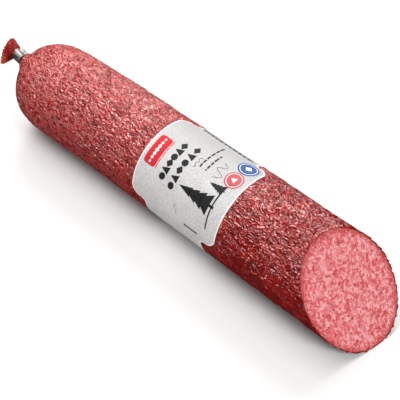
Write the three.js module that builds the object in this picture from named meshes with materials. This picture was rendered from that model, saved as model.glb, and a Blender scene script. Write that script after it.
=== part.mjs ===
// A cured salami in a wrinkled fibrous casing, clipped at one end and sliced open at the other, with a
// paper label wrapped round its middle. Millimetres, +Z up. The log lies along X, its clip towards -X
// and its sliced end towards +X, on a shallow flat that its own weight has pressed into its underside.
import * as THREE from "three";
import { mergeVertices } from "three/addons/utils/BufferGeometryUtils.js";

// ---- Driving dimensions -------------------------------------------------------------------------

// The log. Places along it are measured from the middle of the label.
const calibre = 60; // outside diameter of the filled casing
const labelToShoulder = 120; // to where the clipped end starts to round off
const shoulderLength = 45; // length of that rounded end, as far as its tip
const shoulderFullness = 3.65; // how long the rounded end stays near full thickness
const tipBluntness = 1.21; // 1 is a conical tip, 2 a round one
const labelToCut = 108.6; // to the sliced face, along the axis
const cutLean = 38; // degrees that the sliced face leans back, so it shows from above
const cutSwing = 8.7; // degrees that it turns towards -Y
const endDrift = 1.4; // how far the clipped end has bent off the axis towards -Y
const endDriftLength = 60; // the stretch ahead of the tip's rounding that takes up the bend
const casingWall = 1.1; // the skin with the cured rim that clings to it
const layerGap = 0.3; // clearance between neighbouring pieces

// The flat it lies on, in whole facets of the round section.
const facets = 72;
const flatFacets = 2; // each side of straight down

// The gathered neck behind the tip, which rises towards the clip.
const neckCollar = 9; // radius of the gathers where they leave the rounded end
const neckLength = 6; // from the tip to the clip
const neckHalfWidth = 3.3;
const neckHalfHeight = 2.8;
const neckRise = 4.8; // how far the neck stands above the axis at the clip
const neckRiseLength = 42; // the stretch of the rounded end that takes up the rise
const neckTilt = 12; // degrees that the clip points upwards
const neckShow = 1.2; // bare neck at each end of the clip

// The clip: a U of flat aluminium wire closed round the neck, its two legs curled in at the top.
const clipLength = 6; // along the neck
const clipWall = 1.4;
const clipSlit = 0.36; // between the ends of the legs
const clipDimple = 0.9; // depth of the groove where the legs roll into the slit
const clipDimpleAngle = 17; // degrees, half width of that groove
const clipSideSteps = 20; // facets down each side

// The tail: the end of the casing beyond the clip, pleated and fanned out like a brush.
const tailLength = 11.5;
const tailHalfWidth = 10.5;
const tailHalfHeight = 5.5;
const tailTurn = 52; // degrees that the fan's long side stands up from level
const tailDroop = 24; // degrees that the tail points down
const tailPleats = 9;
const pleatDepth = 0.2; // share of the fan's radius
const tailHollow = 3; // how far the middle of its end is drawn in
const tailRings = [1, 0.8, 0.5, 0.2, 0]; // where its sections stand, as shares of its length

// The label: a panel with rounded corners at the front, and a narrower band that meets behind.
const panelWidth = 67.6; // along the log
const panelHeight = 67; // round the log
const panelTurn = 30; // degrees from the top of the log towards -Y, to the panel's middle
const panelCorner = 7.5;
const bandWidth = 46;
const bandFillet = 3; // inside corner between panel and band
const paperThickness = 0.25;
const labelFacets = 144;
const seatRamp = 1; // length of the slope at each end of the label's seat in the casing

// ---- Sizes that follow ----------------------------------------------------------------------------

const radius = calibre / 2;
const radians = THREE.MathUtils.degToRad;
const flatHeight = radius * Math.cos(radians((360 / facets) * flatFacets)); // flat to axis
const shoulderX = -labelToShoulder;
const tipX = shoulderX - shoulderLength;
const clipX = tipX - neckLength; // the clip's edge nearest the log
const clipEndX = clipX - clipLength * Math.cos(radians(neckTilt));
const tailX = clipEndX - neckShow;
const driftEndX = shoulderX - shoulderLength / 3;
const driftStartX = driftEndX + endDriftLength;
const seatHalfLength = panelWidth / 2 + layerGap; // the casing is drawn in a little under the label
const seatDepth = paperThickness + layerGap;
const meatDepth = casingWall + layerGap;

// ---- Shared shapes --------------------------------------------------------------------------------

// Radius of the rounded end at x, for a layer that lies depth under the outside of the casing.
function shoulderRadius(x, depth) {
  const tip = tipX + depth;
  const along = THREE.MathUtils.clamp((x - tip) / (shoulderX - tip), 0, 1);
  return (radius - depth) * (1 - (1 - along) ** shoulderFullness) ** (1 / tipBluntness);
}

// One point of a turned profile: its place along the log, its radius, and the depth of its layer.
function point(x, r, depth = 0, onSlice = false) {
  return { x, r, depth, onSlice };
}

// The rounded end as profile points, close together at the tip, from tip to shoulder.
function shoulderProfile(depth, steps, radiusAt) {
  const tip = tipX + depth;
  return Array.from({ length: steps + 1 }, (_, i) => {
    const x = tip + (shoulderX - tip) * (i / steps) ** 2;
    return point(x, radiusAt(x), depth);
  });
}

// Outside radius of the casing on the rounded end, where the gathers run on into the neck.
function gatheredRadius(x) {
  const gatherX = clipX + neckShow;
  const collar = THREE.MathUtils.mapLinear(x, gatherX, tipX + neckLength, neckHalfWidth, neckCollar);
  const gathers = THREE.MathUtils.clamp(collar, neckHalfWidth, neckCollar);
  return Math.hypot(shoulderRadius(x, 0) ** 2, gathers ** 2) ** 0.5;
}

// How far the middle of the log stands above its axis at x: it rises in the neck and droops in the tail.
function rise(x) {
  if (x < tailX) return rise(tailX) - (tailX - x) * Math.tan(radians(tailDroop));
  if (x < clipX) return neckRise + (clipX - x) * Math.tan(radians(neckTilt));
  return neckRise * THREE.MathUtils.clamp((clipX + neckRiseLength - x) / neckRiseLength, 0, 1) ** 3;
}

// Moves a vertex with the middle of the log, off its straight axis.
function offset(vertex) {
  vertex.y -= endDrift * THREE.MathUtils.smoothstep(-vertex.x, -driftStartX, -driftEndX);
  vertex.z += rise(vertex.x);
}

// Plain rings along the straight stretch that bends, for a layer of some depth, towards its start.
function driftProfile(depth) {
  const rings = [2 / 3, 1 / 3, 0];
  return rings.map((share) => {
    const x = THREE.MathUtils.lerp(driftStartX, shoulderX, share);
    return point(x, radius - depth, depth);
  });
}

// Half the label's width at a distance round the log from the middle of its panel.
function labelHalfWidth(distance) {
  const past = Math.abs(distance) - panelHeight / 2;
  if (past <= -panelCorner) return panelWidth / 2;
  if (past <= 0) {
    const drop = panelCorner + past;
    return panelWidth / 2 - panelCorner + Math.sqrt(panelCorner ** 2 - drop ** 2);
  }
  if (past >= bandFillet) return bandWidth / 2;
  return bandWidth / 2 + bandFillet - Math.sqrt(bandFillet ** 2 - (bandFillet - past) ** 2);
}

// A closed body turned about the X axis, whose vertices are then each moved by a function that is
// given the vertex and the profile point it was turned from.
function turned(profile, turnFacets, reshape) {
  const points = profile.map(({ x, r }) => new THREE.Vector2(r, x));
  const geometry = new THREE.LatheGeometry(points, turnFacets);
  geometry.rotateZ(-Math.PI / 2);
  const position = geometry.getAttribute("position");
  const vertex = new THREE.Vector3();
  for (let i = 0; i < position.count; i++) {
    reshape(vertex.fromBufferAttribute(position, i), profile[i % profile.length]);
    position.setXYZ(i, vertex.x, vertex.y, vertex.z);
  }
  return welded(geometry);
}

function welded(geometry) {
  geometry.deleteAttribute("normal");
  geometry.deleteAttribute("uv");
  return mergeVertices(geometry, 1e-4);
}

// Presses the underside flat. Each layer's flat lies as deep inside the log as the layer does.
function settle(vertex, depth) {
  vertex.z = Math.max(vertex.z, depth - flatHeight);
}

// Slides a vertex along the log into the plane of the slice.
function slideToSlice(vertex) {
  vertex.x = labelToCut + vertex.y * Math.tan(radians(cutSwing)) - vertex.z * Math.tan(radians(cutLean));
}

// Flattens the neck to an oval, and pleats and fans the tail.
function gather(vertex) {
  const narrowing = THREE.MathUtils.clamp((tipX - vertex.x) / (neckLength - neckShow), 0, 1);
  vertex.z *= THREE.MathUtils.lerp(1, neckHalfHeight / neckHalfWidth, narrowing);
  if (vertex.x < tailX) fanOut(vertex);
}

// The tail's rings come in as ovals of the neck's own proportion, and leave as pleated ovals.
function fanOut(vertex) {
  const along = Math.min((tailX - vertex.x) / tailLength, 1);
  const heightShare = neckHalfHeight / neckHalfWidth;
  const angle = Math.atan2(vertex.z / heightShare, vertex.y);
  const neckShare = Math.hypot(vertex.z / heightShare, vertex.y) / neckHalfWidth;
  const pleat = 1 + pleatDepth * along * Math.cos(tailPleats * angle);
  const across = THREE.MathUtils.lerp(neckHalfWidth, tailHalfWidth, along) * pleat * neckShare;
  const deep = THREE.MathUtils.lerp(neckHalfHeight, tailHalfHeight, along) * pleat * neckShare;
  const turn = radians(tailTurn) * Math.min(1, 2 * along);
  const [y, z] = [across * Math.cos(angle), deep * Math.sin(angle)];
  vertex.y = y * Math.cos(turn) - z * Math.sin(turn);
  vertex.z = y * Math.sin(turn) + z * Math.cos(turn);
}

// ---- Pieces ---------------------------------------------------------------------------------------

// The cured meat: one solid log, rounded at the clipped end and sliced at the other.
function sausageMeatGeometry() {
  const profile = [
    ...shoulderProfile(meatDepth, 12, (x) => shoulderRadius(x, meatDepth)),
    ...driftProfile(meatDepth),
    point(labelToCut, radius - meatDepth, meatDepth, true),
    point(labelToCut, 0, meatDepth, true),
  ];
  return turned(profile, facets, (vertex, { depth, onSlice }) => {
    settle(vertex, depth);
    if (onSlice) slideToSlice(vertex);
    offset(vertex);
  });
}

// The casing: a skin open at the slice, solid where it is gathered into the neck, fanned out beyond.
function casingGeometry() {
  const inside = shoulderProfile(casingWall, 12, (x) => shoulderRadius(x, casingWall));
  inside.push(...driftProfile(casingWall));
  const profile = [
    point(tailX - tailLength + tailHollow, 0),
    point(tailX - tailLength + tailHollow, neckHalfWidth / 2),
    ...tailRings.map((share) => point(tailX - tailLength * share, neckHalfWidth)),
    point(clipX + neckShow, neckHalfWidth),
    ...shoulderProfile(0, 12, gatheredRadius),
    ...driftProfile(0),
    point(-seatHalfLength - seatRamp, radius),
    point(-seatHalfLength, radius - seatDepth, seatDepth),
    point(seatHalfLength, radius - seatDepth, seatDepth),
    point(seatHalfLength + seatRamp, radius),
    point(labelToCut, radius, 0, true),
    point(labelToCut, radius - casingWall, casingWall, true),
    ...inside.reverse(),
  ];
  return turned(profile, facets, (vertex, { depth, onSlice }) => {
    settle(vertex, depth);
    if (onSlice) slideToSlice(vertex);
    gather(vertex);
    offset(vertex);
  });
}

// The clip's section seen along the neck: an oval ring of wire, open at the slit between its legs.
function clipShape() {
  const outerWidth = neckHalfWidth + layerGap + clipWall;
  const outerHeight = neckHalfHeight + layerGap + clipWall;
  const slitAngle = Math.asin(clipSlit / 2 / outerWidth);
  const steps = clipSideSteps * 2;
  const outer = [];
  const inner = [];
  for (let i = 0; i <= steps; i++) {
    const fromTop = THREE.MathUtils.lerp(slitAngle, 2 * Math.PI - slitAngle, i / steps);
    const fromSlit = Math.min(fromTop, 2 * Math.PI - fromTop);
    const dimple = clipDimple * Math.exp(-((fromSlit / radians(clipDimpleAngle)) ** 2));
    const [across, up] = [Math.sin(fromTop), Math.cos(fromTop)];
    outer.push(new THREE.Vector2(outerWidth * across, (outerHeight - dimple) * up));
    inner.push(new THREE.Vector2((outerWidth - clipWall) * across, (outerHeight - clipWall) * up));
  }
  return new THREE.Shape([...outer, ...inner.reverse()]);
}

function clipGeometry() {
  const geometry = new THREE.ExtrudeGeometry(clipShape(), { depth: clipLength, bevelEnabled: false });
  geometry.rotateX(Math.PI / 2).rotateZ(-Math.PI / 2); // the section stands across X, its slit upwards
  return welded(geometry);
}

// The label: a paper ring whose two edges follow the panel's outline and the narrower band.
function labelGeometry() {
  const half = panelWidth / 2;
  const inner = radius - paperThickness;
  const corners = [point(half, radius), point(half, inner, paperThickness)];
  corners.push(point(-half, inner, paperThickness), point(-half, radius), corners[0]);
  return turned(corners, labelFacets, (vertex, { depth }) => {
    const turn = Math.atan2(-vertex.y, vertex.z) - radians(panelTurn);
    const distance = Math.atan2(Math.sin(turn), Math.cos(turn)) * radius;
    vertex.x = Math.sign(vertex.x) * labelHalfWidth(distance);
    settle(vertex, depth);
  });
}

// ---- Assembly -------------------------------------------------------------------------------------

function piece(name, geometry, look) {
  const mesh = new THREE.Mesh(geometry, new THREE.MeshStandardMaterial({ metalness: 0, ...look }));
  mesh.name = name;
  return mesh;
}

const meat = piece("sausage_meat", sausageMeatGeometry(), { color: 0xe2848c, roughness: 0.45 });
const casing = piece("casing", casingGeometry(), { color: 0x9c2226, roughness: 0.3 });
const clip = piece("clip", clipGeometry(), { color: 0xb4b6b8, roughness: 0.35, metalness: 1 });
const label = piece("label", labelGeometry(), { color: 0xe8e4e2, roughness: 0.7 });

clip.position.set(clipX, -endDrift, rise(clipX));
clip.rotation.y = radians(neckTilt);

const salami = new THREE.Group();
salami.add(meat, casing, clip, label);

// The frame's origin is the middle of the underside.
const box = new THREE.Box3().setFromObject(salami, true);
const middle = box.getCenter(new THREE.Vector3());
salami.position.set(-middle.x, -middle.y, -box.min.z);

export default salami;
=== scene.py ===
# A cured salami on a pale table: casing, meat, clip and paper label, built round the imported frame.
# Lengths are in metres. The log lies along X, clipped towards -X and sliced towards +X.
import math

import bpy
import numpy as np
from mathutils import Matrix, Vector, noise


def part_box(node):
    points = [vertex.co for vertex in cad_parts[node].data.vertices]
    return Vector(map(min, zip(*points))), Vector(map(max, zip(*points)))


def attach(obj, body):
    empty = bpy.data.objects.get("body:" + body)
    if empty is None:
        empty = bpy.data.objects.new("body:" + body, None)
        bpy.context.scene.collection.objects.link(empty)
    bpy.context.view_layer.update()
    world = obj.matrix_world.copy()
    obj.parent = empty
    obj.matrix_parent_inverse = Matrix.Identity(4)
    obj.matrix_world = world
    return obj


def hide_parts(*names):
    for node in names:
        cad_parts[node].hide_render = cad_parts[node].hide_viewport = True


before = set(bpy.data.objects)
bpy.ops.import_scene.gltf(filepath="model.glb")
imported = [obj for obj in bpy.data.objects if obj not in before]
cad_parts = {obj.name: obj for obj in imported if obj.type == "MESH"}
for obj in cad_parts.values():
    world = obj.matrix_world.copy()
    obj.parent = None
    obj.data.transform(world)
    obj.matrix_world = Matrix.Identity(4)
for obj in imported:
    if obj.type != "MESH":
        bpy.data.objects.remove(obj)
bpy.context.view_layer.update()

label_low, label_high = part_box("label")
calibre_radius = (label_high.y - label_low.y) / 2
middle = Vector(((label_low.x + label_high.x) / 2, (label_low.y + label_high.y) / 2, label_high.z - calibre_radius))

# ---- Camera, floor and lights ---------------------------------------------------------------------
# The log is seen from above and in front of its sliced end, on a white table. A strip of light hangs
# over it, two softboxes stand behind it, one faces the slice and a weak one lights its near flank.
view_turn = math.radians(43.83)
view_height = math.radians(47.88)
view_distance = 0.560
aim = middle + Vector((0.0002, -0.0063, -0.0038))
towards_camera = Vector(
    (
        math.sin(view_turn) * math.cos(view_height),
        -math.cos(view_turn) * math.cos(view_height),
        math.sin(view_height),
    )
)

bpy.ops.object.camera_add(location=aim + view_distance * towards_camera)
camera = bpy.context.object
camera.name = "camera"
camera.rotation_euler = (-towards_camera).to_track_quat("-Z", "Y").to_euler()
camera.data.sensor_width = 36
camera.data.lens = 83.73
camera.data.clip_start = 0.01
bpy.context.scene.camera = camera


def softbox(name, place, size, power, colour):
    """A square area light at a place, facing the middle of the log."""
    bpy.ops.object.light_add(type="AREA", location=middle + Vector(place))
    lamp = bpy.context.object
    lamp.name = name
    lamp.rotation_euler = (-Vector(place)).to_track_quat("-Z", "Y").to_euler()
    lamp.data.shape = "RECTANGLE"
    lamp.data.size, lamp.data.size_y = size
    lamp.data.energy = power
    lamp.data.color = colour


softbox("back_softbox", (-0.58, 0.68, 0.80), (0.6, 0.4), 12.0, (1.0, 0.985, 0.97))
softbox("low_back_softbox", (-0.54, 1.04, 0.25), (0.5, 0.3), 3.5, (1.0, 0.98, 0.97))
softbox("overhead_strip", (-0.55, -0.12, 1.06), (1.0, 0.26), 11.5, (1.0, 0.99, 0.98))
softbox("right_softbox", (0.80, -0.20, 0.86), (0.4, 0.4), 7.0, (1.0, 0.99, 0.985))
softbox("front_softbox", (0.36, -1.02, 0.42), (0.20, 0.20), 1.6, (1.0, 0.985, 0.975))

bpy.ops.mesh.primitive_plane_add(size=8, location=(0, 0, 0))
floor = bpy.context.object
floor.name = "floor"


def plain_material(name, colour, roughness):
    """A material with only the shader's own values set, and its shader node."""
    material = bpy.data.materials.new(name)
    material.use_nodes = True
    shader = material.node_tree.nodes["Principled BSDF"]
    shader.inputs["Base Color"].default_value = (*colour, 1)
    shader.inputs["Roughness"].default_value = roughness
    return material, shader


# The table and the studio round it are dim in reflections, as they are behind black flags, so the
# glossy skin keeps its deep colour between the glints.
floor_finish, floor_shader = plain_material("table_white", (0.67, 0.67, 0.67), 0.8)
floor_shader.inputs["Specular IOR Level"].default_value = 0.0
looks = floor_finish.node_tree.nodes.new("ShaderNodeLightPath")
tone = floor_finish.node_tree.nodes.new("ShaderNodeMix")
tone.data_type = "RGBA"
tone.inputs[6].default_value = (0.70, 0.70, 0.70, 1)
tone.inputs[7].default_value = (0.03, 0.03, 0.03, 1)
floor_finish.node_tree.links.new(looks.outputs["Is Glossy Ray"], tone.inputs[0])
floor_finish.node_tree.links.new(tone.outputs[2], floor_shader.inputs["Base Color"])
floor.data.materials.append(floor_finish)

world = bpy.data.worlds.new("studio")
bpy.context.scene.world = world
world.use_nodes = True
surroundings = world.node_tree.nodes["Background"]
surroundings.inputs["Color"].default_value = (1, 1, 1, 1)
looks = world.node_tree.nodes.new("ShaderNodeLightPath")
dim = world.node_tree.nodes.new("ShaderNodeMapRange")
dim.inputs[3].default_value = 0.30
dim.inputs[4].default_value = 0.025
world.node_tree.links.new(looks.outputs["Is Glossy Ray"], dim.inputs[0])
world.node_tree.links.new(dim.outputs[0], surroundings.inputs["Strength"])
bpy.context.scene.view_settings.view_transform = "Standard"


# ---- Casing ---------------------------------------------------------------------------------------
# A tube of thin fibrous casing that shrank on to the meat as it dried, so its whole skin stands in
# fine glossy wrinkles. It is cut off flush with the meat at the slice, gathered through the clip at
# the other end, and its spare length beyond the clip fans out in pleats.
label_to_shoulder = 0.120
shoulder_length = 0.045
shoulder_fullness = 3.65
tip_bluntness = 1.21
label_to_slice = 0.1086
slice_lean = math.tan(math.radians(38))
slice_swing = math.tan(math.radians(8.7))
flat_half_angle = math.radians(10)
end_drift = 0.0014
end_drift_length = 0.060
neck_length = 0.006
neck_half_width = 0.0033
neck_half_height = 0.0028
neck_collar = 0.009
neck_rise = 0.0048
neck_rise_length = 0.042
neck_tilt = math.tan(math.radians(12))
neck_show = 0.0012
clip_length = 0.006
panel_half_width = 0.0338
cell = 0.00076
wrinkle_height = 0.00052
lump_height = 0.00022

tip_x = -label_to_shoulder - shoulder_length
clip_x = tip_x - neck_length
clip_end_x = clip_x - clip_length
tail_x = clip_end_x - neck_show
drift_end_x = -label_to_shoulder - shoulder_length / 3
flat_height = calibre_radius * math.cos(flat_half_angle)


def shoulder_radius(x, depth=0.0):
    """Radius of the rounded end at x from the label's middle, for a layer that lies depth inside."""
    tip = tip_x + depth
    along = np.clip((x - tip) / (-label_to_shoulder - tip), 0, 1)
    return (calibre_radius - depth) * (1 - (1 - along) ** shoulder_fullness) ** (1 / tip_bluntness)


def skin_radius(x):
    """Radius of the casing at x, with the gathers that run from the rounded end into the neck."""
    gathers = np.interp(
        x,
        [clip_x + neck_show, clip_x + 2.6 * neck_show, tip_x + neck_length],
        [neck_half_width, 0.0072, neck_collar],
    )
    return (shoulder_radius(x) ** 4 + gathers**4) ** 0.25


def middle_offset(x):
    """How far the middle of the log lies off its straight axis at x, sideways and upwards."""
    share = np.clip((drift_end_x + end_drift_length - x) / end_drift_length, 0, 1)
    sideways = -end_drift * share * share * (3 - 2 * share)
    along = np.clip((clip_x + neck_rise_length - x) / neck_rise_length, 0, 1)
    upwards = neck_rise * along**3 + neck_tilt * np.maximum(clip_x - x, 0)
    return sideways, upwards


def lumps(point):
    """The slow unevenness of the log, which the label follows too, from -1 to 1."""
    return noise.noise(point * 70) + 0.5 * noise.noise(point * 150)


def wrinkles(point, stretch):
    """The broader wrinkles of the skin, from about -1 in a groove to 1 on a crest."""
    place = Vector((point.x / stretch, point.y, point.z)) * 370
    place += 0.8 * noise.noise_vector(place * 0.5)
    broad = 1 - 3.2 * abs(noise.noise(place))
    finer = noise.noise(place * 1.7 + Vector((7, 3, 11)))
    patch = 0.85 + 0.5 * noise.noise(point * 95)
    return (0.75 * broad + 0.35 * finer) * patch


def run_of_places(start, end, step):
    """Places from start to end, step apart as measured over the skin."""
    x = np.linspace(start, end, 4000)
    over_skin = np.concatenate([[0], np.cumsum(np.hypot(np.diff(x), np.diff(skin_radius(x))))])
    count = max(2, round(over_skin[-1] / step) + 1)
    return np.interp(np.linspace(0, over_skin[-1], count), over_skin, x)


def rolled_grid(name, rows, columns):
    """A flat grid to be rolled up, and the row and column of each of its vertices."""
    bpy.ops.object.select_all(action="DESELECT")
    bpy.ops.mesh.primitive_grid_add(x_subdivisions=rows - 1, y_subdivisions=columns - 1, size=2)
    grid = bpy.context.object
    grid.name = grid.data.name = name
    flat = np.empty(len(grid.data.vertices) * 3)
    grid.data.vertices.foreach_get("co", flat)
    flat = flat.reshape(-1, 3)
    row = np.rint((flat[:, 0] + 1) / 2 * (rows - 1)).astype(int)
    column = np.rint((flat[:, 1] + 1) / 2 * (columns - 1)).astype(int)
    return grid, row, column


def place_vertices(thing, places):
    """Moves a mesh's vertices to an array of places."""
    thing.data.vertices.foreach_set("co", np.asarray(places, float).ravel())
    thing.data.update()


def close_up(thing, gap=1e-6):
    """Joins vertices that meet, turns all faces outwards and shades them smoothly."""
    bpy.ops.object.select_all(action="DESELECT")
    thing.select_set(True)
    bpy.context.view_layer.objects.active = thing
    bpy.ops.object.mode_set(mode="EDIT")
    bpy.ops.mesh.select_all(action="SELECT")
    bpy.ops.mesh.remove_doubles(threshold=gap)
    bpy.ops.mesh.normals_make_consistent(inside=False)
    bpy.ops.mesh.select_all(action="DESELECT")
    bpy.ops.object.mode_set(mode="OBJECT")
    bpy.ops.object.shade_smooth()


# Columns of the skin: fine over the top and the sides, coarse on the underside that nobody sees.
under_angle = math.radians(35)
fine_columns = round((2 * math.pi - 2 * under_angle) * calibre_radius / cell)
angles = np.concatenate(
    [
        np.linspace(under_angle, 2 * math.pi - under_angle, fine_columns),
        np.linspace(2 * math.pi - under_angle, 2 * math.pi + under_angle, 25)[1:],
    ]
)
angles += math.pi  # from straight up, towards -Y

seat_end = panel_half_width - 0.0115
slice_rows = round((label_to_slice - seat_end) / cell)
runs = [
    run_of_places(seat_end, -seat_end, 0.004),
    run_of_places(-seat_end, tail_x, cell)[1:],
]
skin_rows = np.concatenate(runs)
lip_rows = 3
tail_rows = 26
lining_rows = 12
rows = lip_rows + slice_rows + len(skin_rows) + tail_rows + lining_rows

casing, row, column = rolled_grid("salami_casing", rows, len(angles))
angle = angles[column]
across, up = -np.sin(angle), np.cos(angle)

# The lip turned in at the slice, then the slanting stretch, the straight log, the rounded end and neck.
lip_depth = np.interp(row, [0, 1, 2, 3], [0.0006, 0.00028, 0.00008, 0])
lip_inward = np.interp(row, [0, 1, 2], [0.004, 0.0001, 0])
slant_share = np.clip((row - lip_rows) / slice_rows, 0, 1)
on_tail = row >= lip_rows + slice_rows + len(skin_rows)
x = skin_rows[np.clip(row - lip_rows - slice_rows, 0, len(skin_rows) - 1)]
near_cut = np.clip(1 - slant_share * 18, 0, 1)
chewed = np.array([noise.noise(Vector((math.cos(a) * 26, math.sin(a) * 26, 3))) for a in angles])[column]
radius = skin_radius(x) - lip_depth + 0.0010 * chewed * near_cut
y, z = radius * across, np.maximum(radius * up, -flat_height + lip_depth)
nicks = np.array([noise.noise(Vector((math.cos(a) * 22, math.sin(a) * 22, 8))) for a in angles])[column]
slice_x = label_to_slice + slice_swing * y - slice_lean * z + 0.0004 * nicks * (1 - slant_share) ** 30
x = np.where(slant_share < 1, slice_x + (seat_end - slice_x) * slant_share, x) - lip_inward

# The skin narrows to an oval where it enters the clip.
narrowing = np.clip((tip_x - x) / (neck_length - neck_show), 0, 1)
z = z * (1 + narrowing * (neck_half_height / neck_half_width - 1))

# The tail: pleated ovals that widen to the rim, and the same folds again inside it.
tail_length = 0.0112
tail_half_width = 0.0100
tail_half_height = 0.0056
tail_turn = math.radians(52)
tail_droop = math.tan(math.radians(24))
pleats = 27

tail_row = row - (lip_rows + slice_rows + len(skin_rows))
lining_row = np.maximum(tail_row - tail_rows, 0)
outward = np.clip((tail_row + 1) / tail_rows, 0, 1)
inward = np.clip(lining_row / (lining_rows - 1), 0, 1)
opened = np.where(inward > 0, 1 - inward, outward)
around = np.array([noise.noise(Vector((math.cos(a) * 1.4, math.sin(a) * 1.4, 5))) for a in angles])[column]
ragged = np.array([noise.noise(Vector((math.cos(a) * 9, math.sin(a) * 9, 2))) for a in angles])[column]
fold = np.cos(pleats * (angle + 0.35 * around))
fold = np.sign(fold) * np.abs(fold) ** 0.7
pleat = 1 + opened * (0.05 * fold + 0.05 * ragged)
spread = opened**0.85
wide = (neck_half_width + (tail_half_width - neck_half_width) * spread) * pleat
deep = (neck_half_height + (tail_half_height - neck_half_height) * spread) * pleat
wide = wide * (1 - 0.04 * (inward > 0)) * np.where(inward >= 1, 0, 1)
deep = deep * (1 - 0.04 * (inward > 0)) * np.where(inward >= 1, 0, 1)
turn = tail_turn * np.minimum(1, 2 * opened)
tail_y = -wide * np.sin(angle) * np.cos(turn) - deep * np.cos(angle) * np.sin(turn)
tail_z = -wide * np.sin(angle) * np.sin(turn) + deep * np.cos(angle) * np.cos(turn)
points_out = 0.16 * np.abs(np.sin(angle)) ** 5
length = tail_length * (0.95 + points_out + 0.07 * ragged + 0.05 * around + 0.03 * fold)
tail_along = tail_x - opened * length
x = np.where(on_tail, tail_along, x)
y = np.where(on_tail, tail_y, y)
z = np.where(on_tail, tail_z, z)

sideways, upwards = middle_offset(np.maximum(x, tail_x))
droop = tail_droop * np.maximum(tail_x - x, 0)
smooth_skin = np.stack([x, y + sideways, z + upwards - droop], axis=1)


def label_half_width(distance):
    """Half the label's width at a distance round the log from the middle of its panel."""
    half_height, corner, band, fillet = 0.0335, 0.0075, 0.023, 0.003
    past = np.abs(distance) - half_height
    drop = np.clip(corner + past, 0, corner)
    panel = panel_half_width - corner + np.sqrt(corner**2 - drop**2)
    rise = np.clip(fillet - past, 0, fillet)
    return np.where(past <= 0, panel, band + fillet - np.sqrt(fillet**2 - rise**2))


panel_turn = math.radians(30)
from_panel = (angle - panel_turn + math.pi) % (2 * math.pi) - math.pi
beyond_label = np.abs(x) - label_half_width(from_panel * calibre_radius)
bare = np.clip((beyond_label + 0.0008) / 0.0014, 0, 1)  # 0 under the paper, 1 where the skin is free

# Outward direction of the smooth skin, from the slope of its outline.
slope = (skin_radius(x + 1e-5) - skin_radius(x - 1e-5)) / 2e-5
slope = np.where(on_tail, 0, slope)
outwards = np.stack([-slope, across, up], axis=1) / np.hypot(slope, 1)[:, None]

# Wrinkles run more along the log near the rounded end, and give way to gathers at the neck.
stretch = np.interp(x, [-0.14, -0.06, 0.13], [1.9, 1.5, 1.35])
points = [Vector(p) for p in smooth_skin]
crinkle = np.array([wrinkles(p, s) for p, s in zip(points, stretch)])
lump = np.array([lumps(p) for p in points])
near_neck = np.clip((0.016 - radius) / 0.010, 0, 1) * ~on_tail
gathers = np.cos(15 * (angle + 0.35 * around)) * near_neck * np.clip(radius / 0.009, 0.25, 1)
skin_relief = bare * (1 - 0.6 * near_neck) * crinkle * ~on_tail * (row >= lip_rows)
height = (
    wrinkle_height * skin_relief
    + lump_height * lump * ~on_tail
    + 0.00030 * gathers
    - 0.00040 * (1 - bare)
)
skin = smooth_skin + outwards * height[:, None] + np.array(middle)
skin[:, 2] = np.maximum(skin[:, 2], 0)
place_vertices(casing, skin)

# The relief attribute carries the wrinkles, neck gathers and tail pleats; the material paints shade into its low
# places. The lip gets a raised value so it takes none.
relief_attribute = casing.data.attributes.new("relief", "FLOAT", "POINT")
on_lip = (row < lip_rows) * 0.6
relief = skin_relief + 0.5 * gathers + 0.8 * fold * on_tail * opened + on_lip
relief_attribute.data.foreach_set("value", relief.astype(np.float32))
tail_attribute = casing.data.attributes.new("tail", "FLOAT", "POINT")
tail_attribute.data.foreach_set("value", (opened * on_tail).astype(np.float32))
fade_attribute = casing.data.attributes.new("faded", "FLOAT", "POINT")
fade_attribute.data.foreach_set("value", (opened * on_tail * np.clip(0.45 + 0.8 * np.sin(angle), 0, 1)).astype(np.float32))
close_up(casing)
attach(casing, "root")
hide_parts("casing")


def add_node(tree, kind, values=None, **settings):
    """A node of a kind in a tree, with its settings and the values of its inputs."""
    node = tree.nodes.new(kind)
    for key, value in settings.items():
        setattr(node, key, value)
    for key, value in (values or {}).items():
        node.inputs[key].default_value = value
    return node


def colour_steps(tree, factor, steps):
    """A colour ramp over a factor, from (position, colour) steps."""
    ramp = add_node(tree, "ShaderNodeValToRGB")
    while len(ramp.color_ramp.elements) < len(steps):
        ramp.color_ramp.elements.new(0.5)
    for element, (position, colour) in zip(ramp.color_ramp.elements, steps):
        element.position = position
        element.color = (*colour, 1)
    tree.links.new(factor, ramp.inputs["Fac"])
    return ramp.outputs["Color"]


def mixed(tree, factor, first, second, blend="MIX"):
    """Two colours mixed by a factor. Each may be a socket or a plain value."""
    node = add_node(tree, "ShaderNodeMix", data_type="RGBA", blend_type=blend)
    for socket, value in ((node.inputs[0], factor), (node.inputs[6], first), (node.inputs[7], second)):
        if isinstance(value, bpy.types.NodeSocket):
            tree.links.new(value, socket)
        elif isinstance(value, tuple):
            socket.default_value = (*value, 1)
        else:
            socket.default_value = value
    return node.outputs[2]


def scaled(tree, value, low, high, to_low=0.0, to_high=1.0):
    """A value mapped from one range to another and clamped."""
    node = add_node(tree, "ShaderNodeMapRange", {1: low, 2: high, 3: to_low, 4: to_high})
    tree.links.new(value, node.inputs[0])
    return node.outputs[0]


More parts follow.
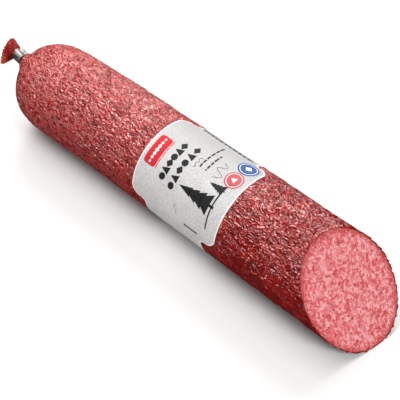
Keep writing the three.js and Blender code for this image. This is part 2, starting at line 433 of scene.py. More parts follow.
def mottle_group():
    """Shader group: the mosaic of lean and fat in minced meat, as masks over object coordinates."""
    group = bpy.data.node_groups.new("minced_meat", "ShaderNodeTree")
    group.interface.new_socket("Vector", in_out="INPUT", socket_type="NodeSocketVector")
    group.interface.new_socket("Grains per metre", in_out="INPUT", socket_type="NodeSocketFloat")
    group.interface.new_socket("Grain", in_out="OUTPUT", socket_type="NodeSocketFloat")
    group.interface.new_socket("Blotch", in_out="OUTPUT", socket_type="NodeSocketFloat")
    group.interface.new_socket("Pit", in_out="OUTPUT", socket_type="NodeSocketFloat")
    inside = add_node(group, "NodeGroupInput")
    outside = add_node(group, "NodeGroupOutput")
    wander = add_node(group, "ShaderNodeTexNoise", {"Scale": 420.0, "Detail": 2.0})
    group.links.new(inside.outputs["Vector"], wander.inputs["Vector"])
    bend = add_node(group, "ShaderNodeVectorMath", {3: 0.0022}, operation="SCALE")
    group.links.new(wander.outputs["Color"], bend.inputs[0])
    bent = add_node(group, "ShaderNodeVectorMath", operation="ADD")
    group.links.new(inside.outputs["Vector"], bent.inputs[0])
    group.links.new(bend.outputs[0], bent.inputs[1])
    grains = add_node(group, "ShaderNodeTexVoronoi", {"Smoothness": 0.35}, feature="SMOOTH_F1")
    group.links.new(bent.outputs[0], grains.inputs["Vector"])
    group.links.new(inside.outputs["Grains per metre"], grains.inputs["Scale"])
    value = add_node(group, "ShaderNodeSeparateColor")
    group.links.new(grains.outputs["Color"], value.inputs[0])
    group.links.new(value.outputs[0], outside.inputs["Grain"])
    blotches = add_node(group, "ShaderNodeTexNoise", {"Scale": 190.0, "Detail": 3.0, "Roughness": 0.6})
    group.links.new(inside.outputs["Vector"], blotches.inputs["Vector"])
    group.links.new(blotches.outputs["Fac"], outside.inputs["Blotch"])
    # Pinholes, which the meat's material paints dark as their shade.
    pits = add_node(group, "ShaderNodeTexVoronoi", {"Scale": 210.0})
    group.links.new(bent.outputs[0], pits.inputs["Vector"])
    pit = add_node(group, "ShaderNodeMapRange", {1: 0.10, 2: 0.16, 3: 1.0, 4: 0.0})
    group.links.new(pits.outputs["Distance"], pit.inputs[0])
    group.links.new(pit.outputs[0], outside.inputs["Pit"])
    return group


minced_meat = mottle_group()


def meat_masks(tree, grains_per_metre):
    """The minced meat group placed in a material: its grain, blotch and pit masks."""
    place = add_node(tree, "ShaderNodeTexCoord")
    node = add_node(tree, "ShaderNodeGroup", node_tree=minced_meat)
    node.inputs["Grains per metre"].default_value = grains_per_metre
    tree.links.new(place.outputs["Object"], node.inputs["Vector"])
    return node.outputs["Grain"], node.outputs["Blotch"], node.outputs["Pit"]


def bumped(tree, shader, heights, distance, strength=1.0):
    """Adds a bump from a height to a shader."""
    bump = add_node(tree, "ShaderNodeBump", {"Strength": strength, "Distance": distance})
    tree.links.new(heights, bump.inputs["Height"])
    tree.links.new(bump.outputs["Normal"], shader.inputs["Normal"])


def wrinkle_group():
    """Shader group: the finest creases of a dried skin, as a height and a mask of its smooth patches."""
    group = bpy.data.node_groups.new("dried_skin_creases", "ShaderNodeTree")
    group.interface.new_socket("Vector", in_out="INPUT", socket_type="NodeSocketVector")
    group.interface.new_socket("Creases per metre", in_out="INPUT", socket_type="NodeSocketFloat")
    group.interface.new_socket("Warp", in_out="INPUT", socket_type="NodeSocketFloat")
    group.interface.new_socket("Height", in_out="OUTPUT", socket_type="NodeSocketFloat")
    group.interface.new_socket("Patches", in_out="OUTPUT", socket_type="NodeSocketFloat")
    inside = add_node(group, "NodeGroupInput")
    outside = add_node(group, "NodeGroupOutput")
    scale = inside.outputs["Creases per metre"]
    wander = add_node(group, "ShaderNodeTexNoise", {"Scale": 210.0, "Detail": 1.0})
    group.links.new(inside.outputs["Vector"], wander.inputs["Vector"])
    centred = add_node(group, "ShaderNodeVectorMath", {1: (0.5, 0.5, 0.5)}, operation="SUBTRACT")
    group.links.new(wander.outputs["Color"], centred.inputs[0])
    bend = add_node(group, "ShaderNodeVectorMath", operation="SCALE")
    group.links.new(centred.outputs[0], bend.inputs[0])
    group.links.new(inside.outputs["Warp"], bend.inputs[3])
    bent = add_node(group, "ShaderNodeVectorMath", operation="ADD")
    group.links.new(inside.outputs["Vector"], bent.inputs[0])
    group.links.new(bend.outputs[0], bent.inputs[1])
    total = None
    for finer, share in ((1.0, 0.70), (2.1, 0.30)):
        noise_node = add_node(group, "ShaderNodeTexNoise", {"Detail": 0.0})
        sized = add_node(group, "ShaderNodeMath", {1: finer}, operation="MULTIPLY")
        group.links.new(scale, sized.inputs[0])
        group.links.new(bent.outputs[0], noise_node.inputs["Vector"])
        group.links.new(sized.outputs[0], noise_node.inputs["Scale"])
        centre = add_node(group, "ShaderNodeMath", {1: 0.5}, operation="SUBTRACT")
        group.links.new(noise_node.outputs["Fac"], centre.inputs[0])
        ridge = add_node(group, "ShaderNodeMath", operation="ABSOLUTE")
        group.links.new(centre.outputs[0], ridge.inputs[0])
        crest = add_node(group, "ShaderNodeMapRange", {1: 0.0, 2: 0.26, 3: share, 4: 0.0})
        group.links.new(ridge.outputs[0], crest.inputs[0])
        if total is None:
            total = crest.outputs[0]
        else:
            both = add_node(group, "ShaderNodeMath", operation="ADD")
            group.links.new(total, both.inputs[0])
            group.links.new(crest.outputs[0], both.inputs[1])
            total = both.outputs[0]
    group.links.new(total, outside.inputs["Height"])
    patches = add_node(group, "ShaderNodeTexNoise", {"Scale": 85.0, "Detail": 2.0})
    group.links.new(inside.outputs["Vector"], patches.inputs["Vector"])
    group.links.new(patches.outputs["Fac"], outside.inputs["Patches"])
    return group


skin_creases = wrinkle_group()


def multiplied(tree, first, second):
    """Two values multiplied."""
    node = add_node(tree, "ShaderNodeMath", operation="MULTIPLY")
    for socket, value in zip(node.inputs, (first, second)):
        if isinstance(value, bpy.types.NodeSocket):
            tree.links.new(value, socket)
        else:
            socket.default_value = value
    return node.outputs[0]


def casing_finish(name, refraction, shine):
    """Deep red wet skin over mottled meat, paler towards the tail's rim, with painted shade in its grooves and
    folds and pale crests that are partly dusty bloom, partly painted highlight.
    """
    material, shader = plain_material(name, (0.3, 0.02, 0.02), 0.3)
    tree = material.node_tree
    relief = add_node(tree, "ShaderNodeAttribute", attribute_name="relief").outputs["Fac"]
    tail = add_node(tree, "ShaderNodeAttribute", attribute_name="tail").outputs["Fac"]
    place = add_node(tree, "ShaderNodeTexCoord")
    split = add_node(tree, "ShaderNodeSeparateXYZ")
    tree.links.new(place.outputs["Object"], split.inputs[0])
    dusty = scaled(tree, split.outputs["X"], -0.10, 0.075, 1.0, 0.0)

    along = add_node(tree, "ShaderNodeMapping", {"Scale": (0.62, 1.0, 1.0)})
    tree.links.new(place.outputs["Object"], along.inputs["Vector"])
    creases = add_node(tree, "ShaderNodeGroup", node_tree=skin_creases)
    creases.inputs["Creases per metre"].default_value = 480.0
    creases.inputs["Warp"].default_value = 0.003
    tree.links.new(along.outputs["Vector"], creases.inputs["Vector"])
    crest = creases.outputs["Height"]
    patches = creases.outputs["Patches"]

    grain, blotch, _ = meat_masks(tree, 260.0)
    fresh = colour_steps(
        tree,
        blotch,
        [(0.30, (0.13, 0.001, 0.001)), (0.50, (0.24, 0.002, 0.001)), (0.72, (0.37, 0.006, 0.005))],
    )
    aged = colour_steps(
        tree,
        blotch,
        [(0.30, (0.25, 0.010, 0.009)), (0.50, (0.39, 0.024, 0.022)), (0.72, (0.53, 0.056, 0.050))],
    )
    skin = mixed(tree, dusty, fresh, aged)
    skin = mixed(tree, scaled(tree, grain, 0.75, 0.95, 0.0, 0.22), skin, (0.62, 0.060, 0.050))
    # Painted shade: the colour darkens to near-black red where the mesh relief sinks into grooves and where the
    # finest creases sink.
    skin = mixed(tree, scaled(tree, relief, -0.8, 0.3, 0.70, 0.0), skin, (0.10, 0.003, 0.003))
    skin = mixed(tree, scaled(tree, crest, 0.05, 0.50, 0.70, 0.0), skin, (0.13, 0.001, 0.001))
    # Pale pink on the crests where the skin is dusty: partly a bloom of dust, partly a painted highlight on the
    # crest tops.
    dusty_bloom_and_painted_highlight = multiplied(tree, scaled(tree, crest, 0.5, 0.9, 0.0, 0.35), dusty)
    skin = mixed(tree, dusty_bloom_and_painted_highlight, skin, (0.66, 0.27, 0.26))
    faded = add_node(tree, "ShaderNodeAttribute", attribute_name="faded").outputs["Fac"]
    rim = colour_steps(
        tree,
        tail,
        [(0.0, (0.05, 0.002, 0.002)), (0.35, (0.22, 0.004, 0.003)), (0.95, (0.38, 0.010, 0.008))],
    )
    rim = mixed(tree, scaled(tree, faded, 0.40, 0.95, 0.0, 0.85), rim, (0.90, 0.19, 0.09))
    # Painted shade: the tail darkens in the low places of its pleats and gathers.
    rim = mixed(tree, scaled(tree, relief, -0.6, 0.4, 0.80, 0.0), rim, (0.12, 0.003, 0.003))
    colour = mixed(tree, scaled(tree, tail, 0.0, 0.06), skin, rim)
    tree.links.new(colour, shader.inputs["Base Color"])

    gloss = scaled(tree, patches, 0.3, 0.7, 0.10, 0.18)
    worn = scaled(tree, patches, 0.3, 0.7, 0.14, 0.23)
    roughness = mixed(tree, dusty, gloss, worn)
    roughness = mixed(tree, scaled(tree, tail, 0.0, 0.06), roughness, (0.40, 0.40, 0.40))
    tree.links.new(roughness, shader.inputs["Roughness"])
    height = multiplied(tree, crest, scaled(tree, patches, 0.40, 0.60, 0.70, 1.0))
    bumped(tree, shader, height, 0.0014)
    shader.inputs["IOR"].default_value = refraction
    shader.inputs["Specular IOR Level"].default_value = shine
    shader.inputs["Specular Tint"].default_value = (1.0, 0.66, 0.64, 1)
    shader.inputs["Subsurface Weight"].default_value = 0.10
    shader.inputs["Subsurface Radius"].default_value = (1.0, 0.2, 0.15)
    shader.inputs["Subsurface Scale"].default_value = 0.0012
    return material


casing.data.materials.append(casing_finish("casing_skin", 1.75, 1.0))
casing.data.materials.append(casing_finish("casing_tail", 1.45, 0.35))
tail_share = casing.data.attributes["tail"].data
for face in casing.data.polygons:
    if min(tail_share[corner].value for corner in face.vertices) > 0:
        face.material_index = 1

# ---- Meat -----------------------------------------------------------------------------------------
# Finely minced pork and back fat, stuffed tight and cured firm. The slice is a clean knife cut, a
# little uneven where soft grains dragged, and the rest of the log fills the casing out of sight.
meat_depth = 0.0002
slice_cells = 132

bpy.ops.object.select_all(action="DESELECT")
bpy.ops.mesh.primitive_grid_add(x_subdivisions=slice_cells, y_subdivisions=slice_cells, size=2)
meat = bpy.context.object
meat.name = meat.data.name = "salami_meat"
flat = np.empty(len(meat.data.vertices) * 3)
meat.data.vertices.foreach_get("co", flat)
u, v = flat.reshape(-1, 3)[:, 0], flat.reshape(-1, 3)[:, 1]
disc_y = u * np.sqrt(1 - v * v / 2)
disc_z = v * np.sqrt(1 - u * u / 2)
meat_radius = calibre_radius - meat_depth
y = meat_radius * disc_y
z = np.maximum(meat_radius * disc_z, -flat_height + meat_depth)
from_edge = 1 - np.hypot(disc_y, disc_z)
slice_x = label_to_slice + slice_swing * y - slice_lean * z
drag = np.array([noise.noise(Vector(p) * 420) + 0.6 * noise.noise(Vector(p) * 900) for p in zip(slice_x, y, z)])
edge_round = -0.0003 * np.exp(-from_edge / 0.02)
face_out = Vector((1, -slice_swing, slice_lean)).normalized()
rise_out = 0.00014 * drag + edge_round
outer_lump = np.array([lumps(Vector(p)) for p in zip(slice_x, y, z)]) * np.clip(1 - from_edge / 0.1, 0, 1)
grow = 1 + lump_height * outer_lump / meat_radius
face = np.stack([slice_x, y * grow, z * grow], axis=1) + rise_out[:, None] * np.array(face_out)
face[:, 2] = np.maximum(face[:, 2] + middle.z, 0.0004) - middle.z
place_vertices(meat, face + np.array(middle))
rim_attribute = meat.data.attributes.new("from_rim", "FLOAT", "POINT")
rim_attribute.data.foreach_set("value", (from_edge * meat_radius).astype(np.float32))

# The rest of the log: the slice's edge drawn back along the casing and closed at the tip.
bpy.context.view_layer.objects.active = meat
bpy.ops.object.mode_set(mode="EDIT")
bpy.ops.mesh.select_all(action="SELECT")
bpy.ops.mesh.region_to_loop()
back_places = [0.020, -0.120, -0.140, -0.150, -0.157, -0.161]
for back in back_places:
    bpy.ops.mesh.extrude_edges_move()
    bpy.ops.object.mode_set(mode="OBJECT")
    for vertex in meat.data.vertices:
        if vertex.select:
            off = vertex.co - middle
            turn = math.atan2(off.y, off.z)
            size = float(shoulder_radius(back, 0.0016))
            sideways, upwards = middle_offset(back)
            vertex.co = middle + Vector(
                (
                    back,
                    size * math.sin(turn) + float(sideways),
                    max(size * math.cos(turn), 0.0016 - flat_height) + float(upwards),
                )
            )
    bpy.ops.object.mode_set(mode="EDIT")
bpy.ops.mesh.merge(type="CENTER")
bpy.ops.object.mode_set(mode="OBJECT")
close_up(meat)
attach(meat, "root")
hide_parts("sausage_meat")


def meat_finish():
    """Salmon pink mince with pale fat grains, redder lean and a few pinholes painted dark as their shade, moist on
    the cut.
    """
    material, shader = plain_material("cured_meat", (0.8, 0.3, 0.3), 0.38)
    tree = material.node_tree
    place = add_node(tree, "ShaderNodeTexCoord")
    grain, blotch, pit = meat_masks(tree, 760.0)
    base = colour_steps(
        tree,
        grain,
        [
            (0.08, (0.52, 0.035, 0.045)),
            (0.28, (0.80, 0.105, 0.120)),
            (0.58, (0.93, 0.220, 0.235)),
            (0.88, (0.98, 0.480, 0.495)),
        ],
    )
    base = mixed(tree, scaled(tree, blotch, 0.50, 0.72, 0.0, 0.60), base, (0.98, 0.42, 0.44))
    base = mixed(tree, scaled(tree, blotch, 0.28, 0.44, 0.5, 0.0), base, (0.76, 0.065, 0.075))
    grit = add_node(tree, "ShaderNodeTexNoise", {"Scale": 1250.0, "Detail": 2.0, "Roughness": 0.6})
    tree.links.new(place.outputs["Object"], grit.inputs["Vector"])
    base = mixed(tree, scaled(tree, grit.outputs["Fac"], 0.28, 0.46, 0.85, 0.0), base, (0.42, 0.024, 0.030))
    base = mixed(tree, scaled(tree, grit.outputs["Fac"], 0.56, 0.70, 0.0, 0.75), base, (0.99, 0.60, 0.61))
    clumps = add_node(tree, "ShaderNodeTexNoise", {"Scale": 340.0, "Detail": 2.0, "Roughness": 0.5})
    tree.links.new(place.outputs["Object"], clumps.inputs["Vector"])
    base = mixed(tree, scaled(tree, clumps.outputs["Fac"], 0.36, 0.48, 0.45, 0.0), base, (0.74, 0.060, 0.070))
    base = mixed(tree, scaled(tree, clumps.outputs["Fac"], 0.54, 0.66, 0.0, 0.55), base, (0.99, 0.50, 0.52))
    # Painted shade: the pinholes are dark spots in the colour, not holes in the mesh.
    base = mixed(tree, scaled(tree, pit, 0.0, 1.0, 0.0, 0.5), base, (0.30, 0.012, 0.018))
    rim = add_node(tree, "ShaderNodeAttribute", attribute_name="from_rim").outputs["Fac"]
    ragged_rim = add_node(tree, "ShaderNodeMath", operation="ADD")
    wavy = scaled(tree, grit.outputs["Fac"], 0.35, 0.65, -0.0016, 0.0016)
    tree.links.new(rim, ragged_rim.inputs[0])
    tree.links.new(wavy, ragged_rim.inputs[1])
    dried = scaled(tree, ragged_rim.outputs[0], 0.0004, 0.0034, 0.85, 0.0)
    base = mixed(tree, dried, base, (0.56, 0.030, 0.026))
    tree.links.new(base, shader.inputs["Base Color"])
    tree.links.new(scaled(tree, grit.outputs["Fac"], 0.3, 0.7, 0.26, 0.45), shader.inputs["Roughness"])
    bumped(tree, shader, grit.outputs["Fac"], 0.0011)
    shader.inputs["Subsurface Weight"].default_value = 0.12
    shader.inputs["Subsurface Radius"].default_value = (1.0, 0.35, 0.25)
    shader.inputs["Subsurface Scale"].default_value = 0.0008
    return material


meat.data.materials.append(meat_finish())

# ---- Clip -----------------------------------------------------------------------------------------
# A strip of soft aluminium wire that the filling machine closes round the gathered casing. It is
# one bent piece, its two legs meeting at the slit on top, with all its edges rolled round.
bpy.ops.object.select_all(action="DESELECT")
clip_solid = bpy.data.objects["clip"]
clip_solid.select_set(True)
bpy.context.view_layer.objects.active = clip_solid
bpy.ops.object.duplicate()
clip = bpy.context.object
clip.name = clip.data.name = "aluminium_clip"
close_up(clip, 1e-5)
rolled_edges = clip.modifiers.new("rolled_edges", "BEVEL")
rolled_edges.width = 0.0005
rolled_edges.segments = 4
rolled_edges.limit_method = "ANGLE"
rolled_edges.angle_limit = math.radians(35)
bpy.context.view_layer.objects.active = clip
bpy.ops.object.modifier_apply(modifier="rolled_edges")
bpy.ops.object.shade_smooth_by_angle(angle=math.radians(40))
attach(clip, "root")
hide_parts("clip")


def aluminium_finish():
    """Soft matt aluminium with fine drawn streak lines and a little handling wear; its base colour also carries
    broad dark and pale bands along the strip as painted shading and highlight of its rounded edges.
    """
    material, shader = plain_material("clip_aluminium", (0.62, 0.62, 0.63), 0.45)
    tree = material.node_tree
    place = add_node(tree, "ShaderNodeTexCoord")
    drawn = add_node(tree, "ShaderNodeMapping", {"Scale": (0.08, 1.0, 1.0)})
    tree.links.new(place.outputs["Object"], drawn.inputs["Vector"])
    streaks_and_painted_shading = add_node(tree, "ShaderNodeTexNoise", {"Scale": 1100.0, "Detail": 3.0})
    tree.links.new(drawn.outputs["Vector"], streaks_and_painted_shading.inputs["Vector"])
    # Partly real drawn streak lines, partly painted shade and highlight: dark and pale bands run along the strip in
    # its base colour.
    tree.links.new(
        colour_steps(
            tree, streaks_and_painted_shading.outputs["Fac"], [(0.40, (0.10, 0.10, 0.10)), (0.62, (0.38, 0.37, 0.36))]
        ),
        shader.inputs["Base Color"],
    )
    tree.links.new(scaled(tree, streaks_and_painted_shading.outputs["Fac"], 0.3, 0.7, 0.38, 0.55), shader.inputs["Roughness"])
    bumped(tree, shader, streaks_and_painted_shading.outputs["Fac"], 0.00006)
    shader.inputs["Metallic"].default_value = 0.85
    return material


clip.data.materials.clear()
clip.data.materials.append(aluminium_finish())

# ---- Label paper ----------------------------------------------------------------------------------
# A sheet of uncoated grey-white paper wrapped round the log and glued to itself underneath. It is a
# wide panel with rounded corners in front and a narrower band round the back.
paper_lift = 0.00012
paper_wall = 0.00012
overlap = 0.006
half_height, corner_radius, fillet_radius = 0.0335, 0.0075, 0.003

corner_start = half_height - corner_radius
quarter = np.linspace(0, math.pi / 2, 12)
half_round = math.pi * calibre_radius
stations = np.concatenate(
    [
        np.linspace(0, corner_start, 26)[:-1],
        corner_start + corner_radius * np.sin(quarter[:-1]),
        half_height + fillet_radius * (1 - np.cos(quarter)),
        np.linspace(half_height + fillet_radius, half_round, 50)[1:],
    ]
)
stations = np.concatenate([-stations[:0:-1], stations, [half_round + overlap / 2, half_round + overlap]])
paper, row, column = rolled_grid("label_paper", 64, len(stations))
station = stations[column]
sheet_x = (row / 63 * 2 - 1) * label_half_width(station)


def label_point(along, around, lift):
    """The place on the wrapped label at a distance along the log and round it from straight up."""
    turned = around / calibre_radius
    place = Vector((along, -calibre_radius * math.sin(turned), calibre_radius * math.cos(turned)))
    place.z = max(place.z, -flat_height)
    raised = 1 + (lift + lump_height * lumps(place)) / calibre_radius
    sideways, upwards = middle_offset(along)
    point = Vector((along, place.y * raised + float(sideways), place.z * raised + float(upwards)))
    point += middle
    point.z = max(point.z, 0.0)
    return point


panel_middle = panel_turn * calibre_radius
outline_side = np.linspace(-half_round, half_round, 1500)
outline = np.stack([label_half_width(outline_side), outline_side], axis=1)
from_edge = np.array(
    [np.hypot(outline[:, 0] - abs(a), outline[:, 1] - b).min() for a, b in zip(sheet_x, station)]
)
lap = paper_wall * 1.3 * np.clip((station - half_round + overlap) / overlap, 0, 1)
sheet = [
    label_point(a, b + panel_middle, paper_lift + c - 0.0001 * np.clip(1 - e / 0.0012, 0, 1))
    for a, b, c, e in zip(sheet_x, station, lap, from_edge)
]
place_vertices(paper, [tuple(p) for p in sheet])
edge_attribute = paper.data.attributes.new("from_edge", "FLOAT", "POINT")
edge_attribute.data.foreach_set("value", from_edge.astype(np.float32))
close_up(paper, 1e-7)
bpy.ops.object.mode_set(mode="EDIT")
bpy.ops.mesh.select_all(action="SELECT")
bpy.ops.mesh.normals_make_consistent(inside=False)
bpy.ops.object.mode_set(mode="OBJECT")
top_face = max(paper.data.polygons, key=lambda face: face.center.z)
if top_face.normal.z < 0:
    paper.data.flip_normals()
thickness = paper.modifiers.new("thickness", "SOLIDIFY")
thickness.thickness = paper_wall
thickness.offset = -1
bpy.context.view_layer.objects.active = paper
bpy.ops.object.modifier_apply(modifier="thickness")
bpy.ops.object.shade_smooth_by_angle(angle=math.radians(40))
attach(paper, "root")
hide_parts("label")


def paper_finish():
    """Grey-white uncoated paper with fibre speckle, painted shade darkening it towards the back, and a plain pale
    border.
    """
    material, shader = plain_material("label_paper", (0.6, 0.6, 0.59), 0.75)
    tree = material.node_tree
    place = add_node(tree, "ShaderNodeTexCoord")
    fibres = add_node(tree, "ShaderNodeTexNoise", {"Scale": 1400.0, "Detail": 3.0, "Roughness": 0.7})
    tree.links.new(place.outputs["Object"], fibres.inputs["Vector"])
    clouds = add_node(tree, "ShaderNodeTexNoise", {"Scale": 120.0, "Detail": 2.0})
    tree.links.new(place.outputs["Object"], clouds.inputs["Vector"])
    body = colour_steps(
        tree,
        fibres.outputs["Fac"],
        [(0.30, (0.31, 0.305, 0.305)), (0.50, (0.49, 0.485, 0.48)), (0.68, (0.62, 0.62, 0.615))],
    )
    body = mixed(tree, scaled(tree, clouds.outputs["Fac"], 0.4, 0.7, 0.0, 0.25), body, (0.61, 0.61, 0.605))
    split = add_node(tree, "ShaderNodeSeparateXYZ")
    tree.links.new(place.outputs["Object"], split.inputs[0])
    # Painted shade: the paper turns darker grey towards +Y, the back of the log.
    shade = scaled(tree, split.outputs["Y"], -0.014, 0.012, 0.0, 0.8)
    body = mixed(tree, shade, body, (0.30, 0.295, 0.295))
    edge = add_node(tree, "ShaderNodeAttribute", attribute_name="from_edge").outputs["Fac"]
    colour = mixed(tree, scaled(tree, edge, 0.00065, 0.00085, 1.0, 0.0), body, (0.84, 0.80, 0.79))
    tree.links.new(colour, shader.inputs["Base Color"])
    bumped(tree, shader, fibres.outputs["Fac"], 0.00010)
    shader.inputs["Specular IOR Level"].default_value = 0.3
    return material


paper.data.materials.append(paper_finish())

# ---- Print on the label ---------------------------------------------------------------------------
# Flat shapes of ink: a plain red panel, two bold bars for a title, fine bars for the small print, two
# fir trees on a hill and two plain round badges. Along the label, up is towards the clip.
ink_step = 0.0015


def drawn(name):
    """Gives the shape that was just added its name and applies its place and size."""
    shape = bpy.context.object
    shape.name = shape.data.name = name
    bpy.ops.object.transform_apply(location=True, rotation=True, scale=True)
    return shape


def bar(name, start, end, left, right, corner=0.0, turn=0.0):
    """A flat bar from start to end along the log and left to right round it, in millimetres."""
    bpy.ops.mesh.primitive_plane_add(
        size=1, location=((start + end) / 2000, (left + right) / 2000, 0), rotation=(0, 0, turn)
    )
    bpy.context.object.scale = ((end - start) / 1000, (right - left) / 1000, 1)
    shape = drawn(name)
    if corner:
        bpy.ops.object.mode_set(mode="EDIT")
        bpy.ops.mesh.select_all(action="SELECT")
        bpy.ops.mesh.bevel(offset=corner / 1000, segments=5, affect="VERTICES")
        bpy.ops.object.mode_set(mode="OBJECT")
    return shape


def disc(name, along, around, size, corners=44, stretch=1.0):
    """A flat disc or regular outline about a point, in millimetres."""
    bpy.ops.mesh.primitive_circle_add(
        vertices=corners,
        radius=size / 1000,
        fill_type="NGON",
        location=(along / 1000, around / 1000, 0),
        rotation=(0, 0, math.pi / 2),
    )
    bpy.context.object.scale = (1, stretch, 1)
    return drawn(name)


def ring(name, along, around, size, width):
    """A flat ring about a point, in millimetres."""
    shape = disc(name, along, around, size)
    bpy.ops.object.mode_set(mode="EDIT")
    bpy.ops.mesh.select_all(action="SELECT")
    bpy.ops.mesh.inset(thickness=width / 1000)
    bpy.ops.mesh.delete(type="FACE")
    bpy.ops.object.mode_set(mode="OBJECT")
    return shape


def stroke(name, path, width):
    """A thin line through points along and round the log, in millimetres."""
    path = np.array(path, float) / 1000
    bpy.ops.mesh.primitive_grid_add(x_subdivisions=len(path) - 1, y_subdivisions=1, size=2)
    shape = bpy.context.object
    shape.name = shape.data.name = name
    heading = np.gradient(path, axis=0)
    heading /= np.linalg.norm(heading, axis=1)[:, None]
    for vertex in shape.data.vertices:
        index = round((vertex.co.x + 1) / 2 * (len(path) - 1))
        side = width / 2000 * (1 if vertex.co.y > 0 else -1)
        vertex.co = (
            path[index, 0] - side * heading[index, 1],
            path[index, 1] + side * heading[index, 0],
            0,
        )
    return shape


def small_print(name, start, end, left, right, seed):
    """A row of fine bars like words, running round the log from right to left, in millimetres."""
    shapes = []
    spot = left
    index = 0
    while spot < right:
        length = 1.6 + 2.6 * abs(noise.noise(Vector((seed, index * 1.7, 0.5)))) * 2
        shapes.append(bar(name, start, end, spot, min(spot + length, right), 0.1))
        spot += length + 0.7
        index += 1
    return shapes


def printed(name, shapes, colour, lift=0.00005):
    """Joins flat shapes into one layer of ink and wraps it on to the label."""
    bpy.ops.object.select_all(action="DESELECT")
    for shape in shapes:
        shape.select_set(True)
    bpy.context.view_layer.objects.active = shapes[0]
    if len(shapes) > 1:
        bpy.ops.object.join()
    layer = bpy.context.object
    layer.name = layer.data.name = name
    places = np.array([tuple(vertex.co) for vertex in layer.data.vertices])
    for axis, normal in ((0, (1, 0, 0)), (1, (0, 1, 0))):
        spot = math.ceil(places[:, axis].min() / ink_step) * ink_step
        while spot < places[:, axis].max():
            bpy.ops.object.mode_set(mode="EDIT")
            bpy.ops.mesh.select_all(action="SELECT")
            bpy.ops.mesh.bisect(plane_co=[spot * n for n in normal], plane_no=normal)
            bpy.ops.object.mode_set(mode="OBJECT")
            spot += ink_step
    for vertex in layer.data.vertices:
        vertex.co = label_point(vertex.co.x, vertex.co.y, paper_lift + lift)
    for face in layer.data.polygons:
        face.use_smooth = True
    if layer.data.polygons[0].normal.z < 0:
        layer.data.flip_normals()
    material, shader = plain_material(name, colour, 0.6)
    shader.inputs["Specular IOR Level"].default_value = 0.15
    tree = material.node_tree
    place = add_node(tree, "ShaderNodeTexCoord")
    fibres = add_node(tree, "ShaderNodeTexNoise", {"Scale": 1400.0, "Detail": 3.0, "Roughness": 0.7})
    tree.links.new(place.outputs["Object"], fibres.inputs["Vector"])
    thin = tuple(min(1.0, 0.02 + 1.2 * part) for part in colour)
    tree.links.new(
        colour_steps(tree, fibres.outputs["Fac"], [(0.45, colour), (0.75, thin)]),
        shader.inputs["Base Color"],
    )
    bumped(tree, shader, fibres.outputs["Fac"], 0.00008)
    layer.data.materials.append(material)
    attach(layer, "root")
    return layer


def fir_tree(name, top, foot, middle_line, width):
    """A fir tree from its top to its foot: four tiers of branches and a trunk, in millimetres."""
    shapes = []
    tall = foot - top
    for tier in range(4):
        low = top + tall * (0.34 + 0.18 * tier)
        high = top + tall * (0.0 + 0.17 * tier)
        wide = width * (0.42 + 0.19 * tier)
        shape = bar(name, high, low, middle_line - wide / 2, middle_line + wide / 2)
        for vertex in shape.data.vertices:
            if vertex.co.x < (high + low) / 2000:
                vertex.co.y = middle_line / 1000 + (vertex.co.y - middle_line / 1000) * 0.06
        shapes.append(shape)
    shapes.append(bar(name, foot - tall * 0.16, foot, middle_line - width * 0.06, middle_line + width * 0.06))
    return shapes


ink_black = (0.012, 0.012, 0.013)
ink_red = (0.50, 0.012, 0.020)
ink_blue = (0.022, 0.075, 0.24)
ink_rose = (0.45, 0.075, 0.080)
ink_white = (0.84, 0.83, 0.82)

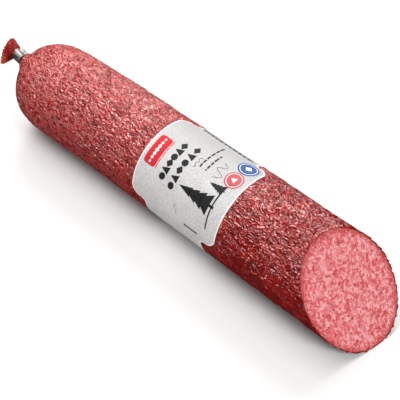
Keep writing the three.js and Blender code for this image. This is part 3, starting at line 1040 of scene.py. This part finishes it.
printed("ink_red_panel", [bar("panel", -31.0, -21.9, 5.1, 25.1, 2.0)], ink_red)
printed(
    "ink_red_panel_marks",
    [disc("spot", -26.6, 15.1 + 2.6 * i, 1.0 + 0.25 * (3 - abs(i)), 4, 0.8) for i in range(-3, 4)],
    ink_white,
    0.00009,
)
title = []
for middle_row, height, left, right in ((-14.4, 5.0, 1.8, 28.4), (-6.25, 5.0, -0.9, 30.6)):
    pitch = (right - left) / 6
    for index in range(6):
        centre = left + pitch * (index + 0.5)
        if index % 3 == 2:
            title.append(disc("title", middle_row, centre, 2.2, 24))
        elif index % 3 == 1:
            shape = bar("title", middle_row - 2.6, middle_row + 2.5, centre - 2.4, centre + 2.4)
            for vertex in shape.data.vertices:
                if vertex.co.x < middle_row / 1000:
                    vertex.co.y = centre / 1000 + (vertex.co.y - centre / 1000) * 0.12
            title.append(shape)
        else:
            title.append(disc("title", middle_row, centre, 2.8, 4, 0.85))
printed("ink_title_row", title, ink_black)
fine = []
fine += small_print("fine", -21.3, -20.7, 5.0, 25.0, 1)
printed("ink_red_line", fine, ink_red)
fine = small_print("fine", 2.0, 3.1, -12.5, 9.0, 2) + small_print("fine", 6.6, 7.7, -5.0, 9.0, 3)
fine += small_print("fine", 9.8, 20.7, 44.8, 45.9, 4)
edge_row = []
spot = -19.7
for index in range(12):
    length = 1.4 + 2.2 * abs(noise.noise(Vector((9.1, index * 1.7, 0.5)))) * 2
    edge_row.append(bar("fine", spot, min(spot + length, 19.5), -20.8, -18.4, 0.1))
    spot += length + 0.7
printed("ink_small_print", fine + edge_row, ink_black)
trees = fir_tree("fir", -1.0, 25.4, 24.3, 13.5) + fir_tree("fir", 14.5, 25.6, 13.2, 6.6)
hill = [(25.6 - 1.6 * math.sin((v - 4) / 34 * math.pi), v) for v in np.linspace(4, 38, 18)]
trees.append(stroke("hill", hill, 0.9))
printed("ink_fir_trees", trees, ink_black)
ridge = [(14.0 + 3.0 * math.cos(v * 0.9) + 0.25 * (v - 3), v) for v in np.linspace(-2, 10.5, 30)]
cloud = [(0.5 - 1.6 * abs(math.sin(v * 0.9)), v) for v in np.linspace(3.5, 11.5, 30)]
far = [(2.0 + 1.2 * math.sin(v * 0.8), v) for v in np.linspace(35.5, 42, 16)]
lines = [stroke("ridge", ridge, 0.28), stroke("cloud", cloud, 0.28), stroke("far", far, 0.28)]
printed("ink_fine_lines", lines, ink_black)
printed("ink_blue_badge", [disc("badge", 24.5, -8.7, 6.5)], ink_blue)
printed("ink_rose_badge", [disc("badge", 24.75, 4.06, 5.9)], ink_rose)
marks = [ring("mark", 24.5, -8.7, 5.4, 0.35), disc("mark", 24.5, -8.7, 2.3, 4)]
marks += [ring("mark", 24.75, 4.06, 4.9, 0.35), disc("mark", 24.75, 4.06, 2.2, 3)]
printed("ink_badge_marks", marks, ink_white, 0.00009)
